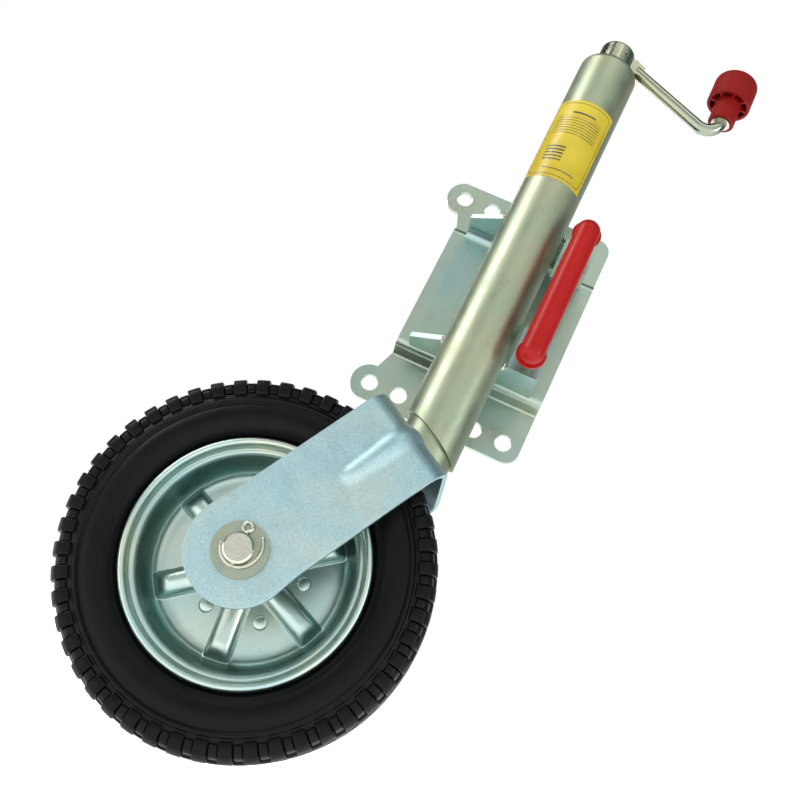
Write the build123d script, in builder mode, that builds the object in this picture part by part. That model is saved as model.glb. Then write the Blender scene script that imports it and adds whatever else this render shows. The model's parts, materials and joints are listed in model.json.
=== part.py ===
# Swing-up trailer tongue jack (jockey wheel) with a crank-wound leg, in millimetres.
# Origin: on the mounting plate's back face, on the swivel's pivot axis.
# +Z runs up the outer tube to the crank, +Y points into the drawbar, +X points to the lock handle.
import os
from math import atan2, cos, radians, sin, tan

from build123d import *

os.makedirs("parts", exist_ok=True)

# ---- driving dimensions -------------------------------------------------------------------
# mounting plate: a hat section that bolts to the drawbar
plate_t = 4.0                # sheet
plate_half_len = 110.0       # half length along the drawbar
plate_right = 63.0           # straight right edge
plate_left = 64.0            # left edge of the raised middle
plateau_rise = 14.0          # how far the middle stands off the tabs
plateau_half = 59.0          # half height of the raised middle
step_run = 4.0               # length of the sloping step
plateau_bend = 8.0           # outer bend radius at the edge of the raised middle
foot_bend = 2.4              # inner bend radius at the foot of the step
bolt_hole_r = 7.0
bolt_row = 95.0              # bolt rows above and below the pivot
bolt_mid = -11.0             # middle of the bolt pattern across the plate
bolt_wide = 118.0            # outer pair
bolt_narrow = 66.0           # inner pair
ear_r = 15.5                 # rounded ears round the outer left bolts
corner_r = 12.0
ear_blend = 2.1              # an ear's slant runs this many ear radii in from its bolt

# swivel bracket: web, two end flanges and two pads
bracket_t = 4.0
bracket_half_len = 60.5
bracket_half_wide = 52.0
bracket_gap = 0.3            # running gap on the plateau
pad_inner = 27.0             # pads' edge beside the tube
pad_tip = 23.5               # pads end this far from the middle
pad_stand = 67.0             # pads' top face from the drawbar
wing_stand = 44.0            # left corner of the flanges from the drawbar
wing_tube_stand = 65.0       # flanges' left top edge where it meets the tube
bracket_bend = 8.0           # inner bend radius between web and flanges
pad_bend = 8.0               # inner bend radius between flanges and pads

# tubes
axis_stand = 72.0            # tube axis from the drawbar face
outer_r = 24.15
outer_t = 2.6
tube_top = 220.0             # shoulder of the outer tube
tube_foot = -140.0           # oblique bottom end, on the axis
rake = 28.5                  # slant of the tube's end and of the fork
inner_r = 21.2
inner_t = 2.6
head_round = 6.0             # rounded shoulder of the outer tube
head_t = 8.0                 # thickness of the outer tube's closed head

# pivot
pivot_r = 12.0
pivot_head_r = 17.0
pivot_washer_r = 18.5
pivot_head_t = 4.0
pivot_tail_r = 15.0          # tail peened over behind the plateau
pivot_tail_t = 3.0
pivot_round = 2.5
washer_t = 1.6
run_gap = 0.05               # running fit on a radius
clear = 0.3                  # gap between parts of different bodies
beyond = 200.0               # length of a cut that passes right through

# lock handle
pin_x = 40.0
pin_half_gap = 35.0          # pins above and below the pivot
pin_r = 5.0
pin_hole_gap = 0.5           # clearance of the plate's lock holes on a radius
engage = 10.0                # travel that drops the pins through the plateau
pull = 12.0                  # travel that lifts them
leg_half = 53.5              # handle's legs, spread above and below the pivot
leg_stand = 88.5             # knees where the legs turn out to the grip, from the drawbar
grip_half = 54.5             # grip's corners above and below the pivot
grip_flange_stand = 91.0     # grip's end collars from the drawbar
grip_axis_stand = 97.0
grip_r = 9.4
collar_r = 11.2
grip_collar_t = 2.2
pad_to_flare = 4.0           # straight part of each pin left above its pad when engaged
spring_collar_r = 9.0
spring_collar_t = 3.0
spring_r = 7.6
spring_wire = 1.6

# wheel
wheel_drop = 139.0           # axle below the fork's top face, along the fork
fork_shift = -6.9            # fork's middle beside the tube axis
tyre_r = 127.0
tyre_half = 37.5
rim_r = 84.0
rim_half = 32.0
rim_t = 2.0
disc_r = 68.0                # flat middle of the rim
axle_r = 10.0
hub_r = 17.0
rivet_ring = 38.5

# fork
fork_t = 4.0
fork_half = 60.5             # arms' outer faces from the tube's plane
fork_left = 35.0
fork_right = 34.0
fork_end_r = 36.0
fork_bend = 20.0
fork_top = -156.7            # fork's top face on the tube axis

# crank
screw_r = 9.0
boss_r = 14.5
boss_h = 22.0
rod_r = 5.0
crank_throw = 101.0
knob_r = 17.6
knob_h = 27.0
neck_r = 10.6
neck_h = 19.0

# ---- derived values -----------------------------------------------------------------------
tube_y = -axis_stand
plateau_front = -(plateau_rise + plate_t)
web_back = plateau_front - bracket_gap
web_front = web_back - bracket_t
rake_rad = radians(rake)
tube_bore_r = outer_r - outer_t
leg_bore_r = inner_r - inner_t

tube_plane = Plane(origin=(0, tube_y, 0))
fork_z = (sin(rake_rad), 0, cos(rake_rad))
fork_x = (cos(rake_rad), 0, -sin(rake_rad))


def tube_level(z):
    """Plane square to the tube axis at height z."""
    return Plane(origin=(0, tube_y, z))


def fork_frame(side=0.0, up=0.0):
    """Plane in the fork's own frame, Z up along its arms and Y along the axle."""
    base_x = fork_x[0] * (fork_shift + side) + fork_z[0] * up
    base_z = fork_top + fork_x[2] * (fork_shift + side) + fork_z[2] * up
    return Plane(origin=(base_x, tube_y, base_z), x_dir=fork_x, z_dir=fork_z)


wheel_centre = fork_frame(up=-wheel_drop).origin
wheel_x, wheel_z = wheel_centre.X, wheel_centre.Z


def wheel_plane(out):
    """Plane square to the axle, 'out' millimetres towards the near side, facing outwards."""
    return Plane(origin=(wheel_x, tube_y - out, wheel_z), x_dir=(1, 0, 0), z_dir=(0, -1, 0))


def finish(node, label):
    """Name a piece and write it out."""
    node.part.label = label
    export_step(node.part, f"parts/{label}.step")


def ring(node_plane, r_out, r_in, length):
    """Plain ring drawn on a plane and extruded along its normal."""
    with BuildSketch(node_plane) as profile:
        Circle(r_out)
        if r_in:
            Circle(r_in, mode=Mode.SUBTRACT)
    extrude(profile.sketch, amount=length)


# ---- mounting plate -----------------------------------------------------------------------
step_turn = atan2(plateau_rise, step_run)
mitre = plate_t * tan(step_turn / 2)
foot_front = plateau_half + step_run
foot_back = foot_front - mitre
plateau_back = plateau_half - mitre
hole_wide = [bolt_mid - bolt_wide / 2, bolt_mid + bolt_wide / 2]
hole_narrow = [bolt_mid - bolt_narrow / 2, bolt_mid + bolt_narrow / 2]
hole_spots = [(x, -bolt_row) for x in hole_wide + hole_narrow]
hole_spots += [(hole_wide[0], bolt_row), (hole_narrow[0], bolt_row)]
lock_spots = [(pin_x, pin_half_gap), (pin_x, -pin_half_gap)]
lock_spots += [(pin_half_gap, -pin_x), (-pin_half_gap, -pin_x)]
ear_x = hole_wide[0]
step_back = ear_blend * ear_r

with BuildPart() as mounting_plate:
    with BuildSketch(Plane.YZ.offset(-beyond)) as hat:
        with BuildLine():
            front = [(-plate_t, plate_half_len), (-plate_t, foot_front), (plateau_front, plateau_half)]
            back = [(-plateau_rise, plateau_back), (0, foot_back), (0, plate_half_len)]
            front += [(y, -z) for y, z in reversed(front)]
            back = [(y, -z) for y, z in reversed(back)] + back
            Polyline(*front, *back, close=True)
        make_face()
        bends = [(plateau_front, plateau_bend), (-plateau_rise, plateau_bend - plate_t)]
        bends += [(-plate_t, foot_bend), (0, foot_bend + plate_t)]
        for level, radius in bends:
            fold = [v for v in hat.vertices() if abs(v.X - level) < 0.1 and abs(v.Y) < foot_front + 1]
            fillet(fold, radius=radius)
    extrude(amount=2 * beyond)
    with BuildSketch(Plane.XZ) as outline:
        with Locations(((plate_right - plate_left) / 2, 0)):
            Rectangle(plate_right + plate_left, 2 * plate_half_len)
        for side in (-1, 1):
            with Locations((ear_x, -side * bolt_row)):
                Circle(ear_r)
            with BuildLine():
                Polyline((ear_x, side * (bolt_row - ear_r)), (-plate_left, side * (bolt_row - step_back)),
                         (0, side * (bolt_row - step_back)), (0, side * plate_half_len),
                         (ear_x, side * plate_half_len), close=True)
            make_face()
        fillet(outline.vertices().group_by(Axis.X)[-1], radius=corner_r)
    extrude(amount=beyond, both=True, mode=Mode.INTERSECT)
    with BuildSketch(Plane.XZ):
        with Locations(*hole_spots):
            Circle(bolt_hole_r)
        with Locations(*lock_spots):
            Circle(pin_r + pin_hole_gap)
        Circle(pivot_r)
    extrude(amount=beyond, both=True, mode=Mode.SUBTRACT)
finish(mounting_plate, "mounting_plate")

# ---- pivot rivet and washer ---------------------------------------------------------------
head_seat = web_front - clear - washer_t
with BuildPart() as pivot_rivet:
    ring(Plane.XZ.offset(plateau_rise - pivot_tail_t), pivot_r, 0, -head_seat - plateau_rise + pivot_tail_t)
    ring(Plane.XZ.offset(plateau_rise - pivot_tail_t), pivot_tail_r, 0, pivot_tail_t)
    ring(Plane.XZ.offset(-head_seat), pivot_head_r, 0, pivot_head_t)
    fillet(pivot_rivet.edges().filter_by(GeomType.CIRCLE).sort_by(Axis.Y)[0], radius=pivot_round)
finish(pivot_rivet, "pivot_rivet")

with BuildPart() as pivot_washer:
    ring(Plane.XZ.offset(-web_front + clear), pivot_washer_r, pivot_r + run_gap, washer_t)
finish(pivot_washer, "pivot_washer")

# ---- swivel bracket -----------------------------------------------------------------------
end_face = bracket_half_len
inner_end = bracket_half_len - bracket_t
with BuildPart() as swivel_bracket:
    # channel: web and both end flanges, up to the height of the tube's side
    with BuildSketch(Plane.YZ.offset(-bracket_half_wide)) as channel:
        with BuildLine():
            top = -wing_tube_stand
            Polyline((web_back, end_face), (top, end_face), (top, inner_end), (web_front, inner_end),
                     (web_front, -inner_end), (top, -inner_end), (top, -end_face),
                     (web_back, -end_face), close=True)
        make_face()
        fillet([v for v in channel.vertices() if abs(v.X - web_back) < 0.1], radius=bracket_bend + bracket_t)
        fillet([v for v in channel.vertices() if abs(v.X - web_front) < 0.1], radius=bracket_bend)
    extrude(amount=bracket_half_wide + pad_inner)
    # left wings slope down from the tube to the low outer corners
    with BuildSketch(Plane.XY):
        with BuildLine():
            Polyline((-bracket_half_wide - 1, -wing_stand), (-outer_r, -wing_tube_stand),
                     (-outer_r, -axis_stand), (-bracket_half_wide - 1, -axis_stand), close=True)
        make_face()
    extrude(amount=beyond, both=True, mode=Mode.SUBTRACT)
    # right side: flanges run up into two pads turned in over the web
    with BuildSketch(Plane.YZ.offset(pad_inner)) as c_section:
        with BuildLine():
            Polyline((web_back, end_face), (-pad_stand, end_face), (-pad_stand, pad_tip),
                     (bracket_t - pad_stand, pad_tip), (bracket_t - pad_stand, inner_end),
                     (web_front, inner_end), (web_front, -inner_end), (bracket_t - pad_stand, -inner_end),
                     (bracket_t - pad_stand, -pad_tip), (-pad_stand, -pad_tip), (-pad_stand, -end_face),
                     (web_back, -end_face), close=True)
        make_face()
        corners = c_section.vertices()
        fillet([v for v in corners if abs(v.X - web_back) < 0.1], radius=bracket_bend + bracket_t)
        fillet([v for v in corners if abs(v.X - web_front) < 0.1], radius=bracket_bend)
        shoulder = [v for v in corners if abs(v.X + pad_stand) < 0.1 and abs(v.Y) > inner_end]
        fillet(shoulder, radius=pad_bend + bracket_t)
        throat = [v for v in corners if abs(v.X + pad_stand - bracket_t) < 0.1 and abs(v.Y) > pad_tip + 1]
        fillet(throat, radius=pad_bend)
    extrude(amount=bracket_half_wide - pad_inner)
    # saddle for the tube
    with BuildSketch(tube_plane):
        Circle(outer_r)
        with Locations((0, -outer_r)):
            Rectangle(2 * outer_r, 2 * outer_r)
    extrude(amount=beyond, both=True, mode=Mode.SUBTRACT)
    # holes for the pivot and the lock pins
    with BuildSketch(Plane.XZ):
        Circle(pivot_r + run_gap)
        with Locations((pin_x, pin_half_gap), (pin_x, -pin_half_gap)):
            Circle(pin_r + run_gap)
    extrude(amount=beyond, mode=Mode.SUBTRACT)
finish(swivel_bracket, "swivel_bracket")

# ---- outer tube ---------------------------------------------------------------------------
head_bore_r = screw_r + 2.0
blank_foot = tube_foot - outer_r
blank_len = tube_top - blank_foot
with BuildPart() as outer_tube:
    with BuildSketch(tube_level(blank_foot)):
        Circle(outer_r)
    extrude(amount=blank_len)
    fillet(outer_tube.edges().filter_by(GeomType.CIRCLE).sort_by(Axis.Z)[-1], radius=head_round)
    with BuildSketch(tube_level(blank_foot)):
        Circle(tube_bore_r)
    extrude(amount=blank_len - head_t, mode=Mode.SUBTRACT)
    with BuildSketch(tube_level(tube_top - 2 * head_t)):
        Circle(head_bore_r)
    extrude(amount=beyond, mode=Mode.SUBTRACT)
    # oblique foot, square to the fork's own axis
    cut = Plane(origin=(0, tube_y, tube_foot), x_dir=fork_x, z_dir=fork_z)
    with BuildSketch(cut):
        Rectangle(beyond, beyond)
    extrude(amount=-beyond, mode=Mode.SUBTRACT)
finish(outer_tube, "outer_tube")

# ---- weld beads between bracket and tube --------------------------------------------------
bead_r = 2.6
bead_lift = 1.3              # bead's middle above the flange
bead_swell = 1.17            # bead's middle outside the tube
bead_ends = 3.0              # beads stop this far in front of the tube's axis
with BuildPart() as tube_welds:
    for side in (-1, 1):
        with Locations(tube_level(side * (end_face + bead_lift))):
            Torus(outer_r + bead_swell, bead_r)
    with BuildSketch(tube_plane):
        Circle(outer_r)
        with Locations((0, bead_ends - outer_r)):
            Rectangle(4 * outer_r, 2 * outer_r)
    extrude(amount=beyond, both=True, mode=Mode.SUBTRACT)
    with BuildSketch(Plane.XZ):
        Rectangle(4 * outer_r, 2 * end_face)
    extrude(amount=beyond, both=True, mode=Mode.SUBTRACT)
finish(tube_welds, "tube_welds")

# ---- label on the tube --------------------------------------------------------------------
label_t = 0.25
label_low, label_high = 87.0, 165.0
label_from, label_to = -72.0, 58.0      # degrees round the tube from its front
with BuildPart() as tube_label:
    with BuildSketch(tube_level(label_low)):
        with BuildLine():
            CenterArc((0, 0), outer_r + label_t, -90 + label_from, label_to - label_from)
            CenterArc((0, 0), outer_r, -90 + label_from, label_to - label_from)
            for turn in (label_from, label_to):
                along = (cos(radians(turn - 90)), sin(radians(turn - 90)))
                Line(*[(r * along[0], r * along[1]) for r in (outer_r, outer_r + label_t)])
        make_face()
    extrude(amount=label_high - label_low)
finish(tube_label, "tube_label")

# ---- thrust bearing in the tube's head ----------------------------------------------------
head_under = tube_top - head_t
race_t = 2.5
ball_r = 2.0
race_r = 18.5
ball_ring_r = 14.0
groove = 0.5                 # balls sit this deep in each race
low_race = head_under - 2 * race_t - 2 * (ball_r - groove)
with BuildPart() as bearing_race_upper:
    ring(tube_level(head_under - race_t), race_r, head_bore_r, race_t)
    with Locations(tube_level(head_under - race_t - ball_r + groove)):
        Torus(ball_ring_r, ball_r + run_gap, mode=Mode.SUBTRACT)
finish(bearing_race_upper, "bearing_race_upper")

with BuildPart() as bearing_race_lower:
    ring(tube_level(low_race), race_r, screw_r, race_t)
    with Locations(tube_level(low_race + race_t + ball_r - groove)):
        Torus(ball_ring_r, ball_r + run_gap, mode=Mode.SUBTRACT)
finish(bearing_race_lower, "bearing_race_lower")

ball_count = 16
with BuildPart() as bearing_balls:
    with Locations(tube_level(low_race + race_t + ball_r - groove)):
        with PolarLocations(ball_ring_r, ball_count):
            Sphere(ball_r)
finish(bearing_balls, "bearing_balls")

# ---- leg: drive nut, inner tube, fork -----------------------------------------------------
nut_top = 182.0
nut_flange_t = 6.0
nut_len = 34.0
leg_top = nut_top - nut_flange_t
with BuildPart() as drive_nut:
    ring(tube_level(leg_top), inner_r, screw_r + run_gap, nut_flange_t)
    ring(tube_level(nut_top - nut_len), leg_bore_r - run_gap, screw_r + run_gap, nut_len - nut_flange_t)
finish(drive_nut, "drive_nut")

with BuildPart() as inner_tube:
    with BuildSketch(tube_level(fork_top - inner_r)):
        Circle(inner_r)
        Circle(leg_bore_r, mode=Mode.SUBTRACT)
    extrude(amount=leg_top - fork_top + inner_r)
    with BuildSketch(fork_frame()):
        Rectangle(beyond, beyond)
    extrude(amount=-beyond, mode=Mode.SUBTRACT)
finish(inner_tube, "inner_tube")

arm_inside = fork_half - fork_t
rib_r = 6.0                  # stiffening rib pressed into each arm
rib_sunk = 3.5               # rib's middle behind the arm's outer face
rib_foot = -60.0             # rib's round end, below the fork's top
rib_len = 36.0
with BuildPart() as wheel_fork:
    with BuildSketch(Plane(fork_frame(side=-fork_left).origin, x_dir=(0, 1, 0), z_dir=fork_x)) as strap:
        # drawn across the fork: X along the axle, Y up the arms
        with BuildLine():
            foot = -wheel_drop - 2 * fork_end_r
            Polyline((-fork_half, foot), (-fork_half, 0), (fork_half, 0), (fork_half, foot),
                     (arm_inside, foot), (arm_inside, -fork_t), (-arm_inside, -fork_t),
                     (-arm_inside, foot), close=True)
        make_face()
        fillet([v for v in strap.vertices() if abs(v.Y) < 0.1], radius=fork_bend)
        fillet([v for v in strap.vertices() if abs(v.Y + fork_t) < 0.1], radius=fork_bend - fork_t)
    extrude(amount=fork_left + fork_right)
    with BuildSketch(Plane(fork_frame().origin, x_dir=fork_x, z_dir=(0, -1, 0))):
        # side view of both arms: a straight strap with a round end about the axle
        with Locations(((fork_right - fork_left) / 2, -wheel_drop / 2)):
            Rectangle(fork_left + fork_right, wheel_drop)
        with Locations((0, -wheel_drop)):
            Circle(fork_end_r)
    extrude(amount=beyond, both=True, mode=Mode.INTERSECT)
    for side in (-1, 1):
        with Locations(fork_frame(up=rib_foot).location * Location((0, side * (fork_half - rib_sunk), 0))):
            Sphere(rib_r)
        with BuildSketch(fork_frame(up=rib_foot)):
            with Locations((0, side * (fork_half - rib_sunk))):
                Circle(rib_r)
        extrude(amount=rib_len)
    with BuildSketch(Plane(fork_frame().origin, x_dir=fork_x, z_dir=(0, -1, 0))):
        with Locations((0, -wheel_drop)):
            Circle(axle_r)
    extrude(amount=beyond, both=True, mode=Mode.SUBTRACT)
    # nothing of the ribs stands inside the arms
    with BuildSketch(fork_frame(up=-fork_bend)):
        Rectangle(beyond, 2 * arm_inside)
    extrude(amount=-beyond, mode=Mode.SUBTRACT)
finish(wheel_fork, "wheel_fork")

# ---- weld round the inner tube's foot -----------------------------------------------------
foot_weld_r = 2.4
with BuildPart() as fork_weld:
    with BuildSketch(fork_frame()) as bead:
        with Locations((-fork_shift, 0)):
            Ellipse((inner_r + foot_weld_r) / cos(rake_rad), inner_r + foot_weld_r)
            Ellipse(inner_r / cos(rake_rad), inner_r, mode=Mode.SUBTRACT)
    extrude(amount=foot_weld_r)
    with BuildSketch(tube_plane):
        Circle(inner_r)
    extrude(amount=-beyond, mode=Mode.SUBTRACT)
finish(fork_weld, "fork_weld")

# ---- axle, washers and split pin ----------------------------------------------------------
near_washer_t = 3.0
far_washer_t = 1.5
head_r = 15.0
axle_head_t = 7.0
axle_proud = 8.0
axle_chamfer = 1.2
washer_r = 18.5
cotter_r = 1.6
near_face = fork_half + near_washer_t
axle_end = near_face + axle_proud
cotter_gap = 0.6             # pin's hole stands off the washer
cotter_out = near_face + cotter_r + cotter_gap
cotter_turn = radians(5.6)   # pin leans this far from upright
pin_side = (cos(cotter_turn), 0, sin(cotter_turn))
pin_up = (-sin(cotter_turn), 0, cos(cotter_turn))
pin_centre = (wheel_x, tube_y - cotter_out, wheel_z)
with BuildPart() as wheel_axle:
    far_seat = -(fork_half + far_washer_t)
    ring(wheel_plane(far_seat), axle_r, 0, axle_end - far_seat)
    chamfer(wheel_axle.edges().filter_by(GeomType.CIRCLE).sort_by(Axis.Y)[0], length=axle_chamfer)
    ring(wheel_plane(far_seat - axle_head_t), head_r, 0, axle_head_t)
    chamfer(wheel_axle.edges().filter_by(GeomType.CIRCLE).sort_by(Axis.Y)[-1], length=axle_chamfer)
    with BuildSketch(Plane(origin=pin_centre, z_dir=pin_up)):
        Circle(cotter_r)
    extrude(amount=2 * axle_r, both=True, mode=Mode.SUBTRACT)
finish(wheel_axle, "wheel_axle")

with BuildPart() as axle_washers:
    ring(wheel_plane(fork_half), washer_r, axle_r, near_washer_t)
    ring(wheel_plane(far_seat), washer_r, axle_r, far_washer_t)
finish(axle_washers, "axle_washers")

# split pin: shank across the axle, eye above, legs bent back round the axle
eye_r = 3.4
eye_wire_r = 1.2
leg_r = 1.28                 # half the pin's wire, as a round
leg_bow = axle_r + cotter_r + 0.4
eye_up = leg_bow + eye_r - 0.6
leg_sweep = 92               # degrees each leg goes round the axle
with BuildPart() as split_pin:
    pin_plane = Plane(origin=pin_centre, x_dir=pin_side, z_dir=(0, -1, 0))
    with BuildSketch(Plane(origin=pin_centre, z_dir=pin_up)):
        Circle(cotter_r)
    extrude(amount=leg_bow, both=True)
    with Locations(pin_plane * Location((0, eye_up, 0))):
        Torus(eye_r, eye_wire_r)
    for side in (-1, 1):
        # a quarter and a bit of a ring either side of the axle
        with BuildLine() as leg_line:
            CenterArc((0, 0), leg_bow, 270, side * leg_sweep)
        with BuildSketch(Plane(origin=(pin_plane * Location((0, -leg_bow, 0))).position, z_dir=pin_side)):
            Circle(leg_r)
        leg_path = pin_plane * leg_line.line
        sweep(path=leg_path)
finish(split_pin, "split_pin")

# ---- wheel --------------------------------------------------------------------------------
wheel_axis = Axis((wheel_x, tube_y, wheel_z), (0, 1, 0))
rib_half = 9.0
rib_in, rib_out = 24.0, 66.0
rib_phase = -82.4
rib_count = 6
hub_half = 52.0
bush_flange_t = 2.0
bush_len = 26.0
bush_r = 13.5
spacer_r = 16.0
rivet_r = 3.0
rivet_head_r = 4.6
rivet_head_t = 2.4
rivet_head_flat = 3.0        # radius of a rivet head's flat top
spoke_gap = 180 / rib_count  # degrees from a rib to the next rivet
# middle line of the pressed sheet, as (radius, distance out along the axle)
rim_bend = 1.4
dish_foot = (disc_r, rim_t / 2)
dish_top = (disc_r + 6, rim_half - 8)
groove_in = (disc_r + 9, rim_half - 5.5)
groove_out = (disc_r + 10.5, rim_half - 1.5)
lip_top = (rim_r - 1.5, rim_half - 0.5)
lip_end = (rim_r - 0.8, rim_half - 4.5)
rim_line = [dish_foot, dish_top, groove_in, groove_out, lip_top, lip_end]


def radial_section(side):
    """Plane through the axle: X out along a radius, Y out along the axle on one side."""
    return Plane(origin=(wheel_x, tube_y, wheel_z), x_dir=(1, 0, 0), z_dir=(0, 0, -side))


def disc_plane(side, out=0.0):
    """Plane square to the axle on one side of the wheel, facing outwards."""
    return Plane(origin=(wheel_x, tube_y - side * out, wheel_z), x_dir=(side, 0, 0), z_dir=(0, -side, 0))


def rim_half_shell(side):
    """One pressed half of the rim: flat disc, dish wall, groove, rolled lip and hollow ribs."""
    with BuildSketch(radial_section(side)) as section:
        with BuildLine() as mid:
            FilletPolyline((hub_r, rim_t / 2), *rim_line, radius=rim_bend)
        trace(mid.line, line_width=rim_t)
    revolve(section.sketch, axis=wheel_axis)
    with BuildSketch(disc_plane(side, -rim_t)) as holes:
        with PolarLocations(rivet_ring, rib_count, start_angle=side * rib_phase + spoke_gap):
            Circle(rivet_r)
    extrude(holes.sketch, amount=3 * rim_t, mode=Mode.SUBTRACT)
    for k in range(rib_count):
        turn = radians(rib_phase + k * 360 / rib_count)
        along = (cos(turn), 0, sin(turn))
        start = (wheel_x + along[0] * rib_in, tube_y, wheel_z + along[2] * rib_in)
        with BuildSketch(Plane(origin=start, x_dir=(0, -side, 0), z_dir=along)) as rib:
            with BuildLine():
                CenterArc((0, 0), rib_half, -90, 180)
                CenterArc((0, 0), rib_half - rim_t, -90, 180)
                Line((0, -rib_half), (0, rim_t - rib_half))
                Line((0, rib_half), (0, rib_half - rim_t))
            make_face()
        extrude(rib.sketch, amount=rib_out - rib_in)


with BuildPart() as rim_near:
    rim_half_shell(1)
finish(rim_near, "rim_near")

with BuildPart() as rim_far:
    rim_half_shell(-1)
finish(rim_far, "rim_far")

with BuildPart() as rim_rivets:
    for side in (-1, 1):
        with Locations(disc_plane(side, rim_t)):
            with PolarLocations(rivet_ring, rib_count, start_angle=side * rib_phase + spoke_gap):
                Cone(rivet_head_r, rivet_head_flat, rivet_head_t,
                     align=(Align.CENTER, Align.CENTER, Align.MIN))
    with BuildSketch(disc_plane(1)):
        with PolarLocations(rivet_ring, rib_count, start_angle=rib_phase + spoke_gap):
            Circle(rivet_r)
    extrude(amount=rim_t, both=True)
finish(rim_rivets, "rim_rivets")

# tyre's outer line as (radius, distance out along the axle), from the rim to the crown
tyre_line = [(rim_r + 6, rim_half + 2.5), (tyre_r - 27, tyre_half), (tyre_r - 11, tyre_half - 0.5)]
tyre_line += [(tyre_r - 2, 30), (tyre_r, 14), (tyre_r, 0)]
tyre_round = 1.2
with BuildPart() as tyre:
    with BuildSketch(radial_section(1)):
        with BuildLine():
            Polyline((tyre_r, 0), (disc_r, 0), *rim_line[:-1])
            FilletPolyline(lip_top, *tyre_line, radius=tyre_round)
        make_face()
        mirror(about=Plane.XZ)
    revolve(axis=wheel_axis)
    add(rim_near.part, mode=Mode.SUBTRACT)
    add(rim_far.part, mode=Mode.SUBTRACT)
    # what the rims cut off inside the bead isn't rubber
    with BuildSketch(disc_plane(1)):
        Circle(disc_r + 1)
    extrude(amount=rim_half, both=True, mode=Mode.SUBTRACT)
finish(tyre, "tyre")

with BuildPart() as hub_tube:
    ring(disc_plane(1, -hub_half), hub_r, bush_r, 2 * hub_half)
finish(hub_tube, "hub_tube")

with BuildPart() as hub_bushes:
    for side in (-1, 1):
        ring(disc_plane(side, hub_half - bush_len), bush_r, axle_r + run_gap, bush_len)
        ring(disc_plane(side, hub_half), hub_r, axle_r + run_gap, bush_flange_t)
finish(hub_bushes, "hub_bushes")

with BuildPart() as axle_spacers:
    spacer_from = hub_half + bush_flange_t + clear
    for side in (-1, 1):
        ring(disc_plane(side, spacer_from), spacer_r, axle_r, arm_inside - spacer_from)
finish(axle_spacers, "axle_spacers")

# ---- crank --------------------------------------------------------------------------------
boss_foot = tube_top + clear
boss_top = boss_foot + boss_h
screw_foot = -35.0
roll_pin_r = 1.8
roll_pin_level = boss_top - 9.0
roll_pin_turn = radians(30)
roll_pin_wall = 0.7
boss_cap = 3.0               # top of the boss over the screw
boss_round = 3.0
screw_chamfer = 1.5
pin_along = (sin(roll_pin_turn), -cos(roll_pin_turn), 0)
roll_plane = Plane(origin=(0, tube_y, roll_pin_level), z_dir=pin_along)
roll_pin_half = boss_r - 0.8 # pin's ends lie just inside the boss


def cross_hole():
    """Hole across the boss and the screw for the roll pin."""
    with BuildSketch(roll_plane) as bore:
        Circle(roll_pin_r)
    extrude(bore.sketch, amount=2 * boss_r, both=True, mode=Mode.SUBTRACT)


with BuildPart() as lead_screw:
    ring(tube_level(screw_foot), screw_r, 0, boss_top - boss_cap - screw_foot)
    chamfer(lead_screw.edges().filter_by(GeomType.CIRCLE).sort_by(Axis.Z)[0], length=screw_chamfer)
    cross_hole()
finish(lead_screw, "lead_screw")

lug_reach = 26.0
lug_half = 4.0
lug_top = boss_top - 3.5
lug_tip = boss_top - 8.0
arm_start = boss_r + 5.0     # crank arm's straight bar starts here
rod_start_level = boss_top - 12.0
rod_slope = 0.42
with BuildPart() as crank_boss:
    ring(tube_level(boss_foot), boss_r, 0, boss_h)
    fillet(crank_boss.edges().filter_by(GeomType.CIRCLE).sort_by(Axis.Z)[-1], radius=boss_round)
    with BuildSketch(tube_level(boss_foot)):
        Circle(screw_r)
    extrude(amount=boss_h - boss_cap, mode=Mode.SUBTRACT)
    cross_hole()
finish(crank_boss, "crank_boss")

with BuildPart() as roll_pin:
    with BuildSketch(roll_plane.offset(-roll_pin_half)):
        Circle(roll_pin_r)
        Circle(roll_pin_r - roll_pin_wall, mode=Mode.SUBTRACT)
    extrude(amount=2 * roll_pin_half)
finish(roll_pin, "roll_pin")

knob_foot = tube_top - 6.0
rod_end = knob_foot + neck_h + knob_h - 10.0
rod_bend = 12.0
clip_r = 8.0
clip_t = 1.2
clip_level = rod_end - 4.0
with BuildPart() as crank_rod:
    # round bar: lug on the boss, sloping arm, then up into the knob
    arm_low = rod_start_level - rod_slope * (crank_throw - arm_start)
    with BuildLine(Plane.XZ.offset(axis_stand)) as arm:
        FilletPolyline((arm_start, rod_start_level), (crank_throw, arm_low), (crank_throw, rod_end),
                       radius=rod_bend)
    with BuildSketch(Plane(origin=arm.line @ 0, z_dir=arm.line % 0)):
        Circle(rod_r)
    sweep(path=arm.line)
    # flattened lug between bar and boss
    with BuildSketch(Plane.XZ.offset(axis_stand)):
        with BuildLine():
            low = rod_start_level - rod_r
            Polyline((0, low), (0, lug_top), (boss_r + 2, lug_top), (lug_reach, lug_tip),
                     (lug_reach, low), close=True)
        make_face()
    extrude(amount=lug_half, both=True)
    with BuildSketch(tube_plane):
        Circle(boss_r)
    extrude(amount=2 * beyond, mode=Mode.SUBTRACT)
finish(crank_rod, "crank_rod")


def knob_level(up):
    """Plane square to the knob's axis, 'up' millimetres above its foot."""
    return Plane(origin=(crank_throw, tube_y, knob_foot + up))


ferrule_r = 7.6
ferrule_t = 3.0
ferrule_proud = 1.2
with BuildPart() as knob_ferrule:
    ring(knob_level(-ferrule_proud), ferrule_r, rod_r + run_gap, ferrule_t)
finish(knob_ferrule, "knob_ferrule")

with BuildPart() as knob_clip:
    ring(knob_level(clip_level - knob_foot), clip_r, rod_r, clip_t)
finish(knob_clip, "knob_clip")

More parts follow.
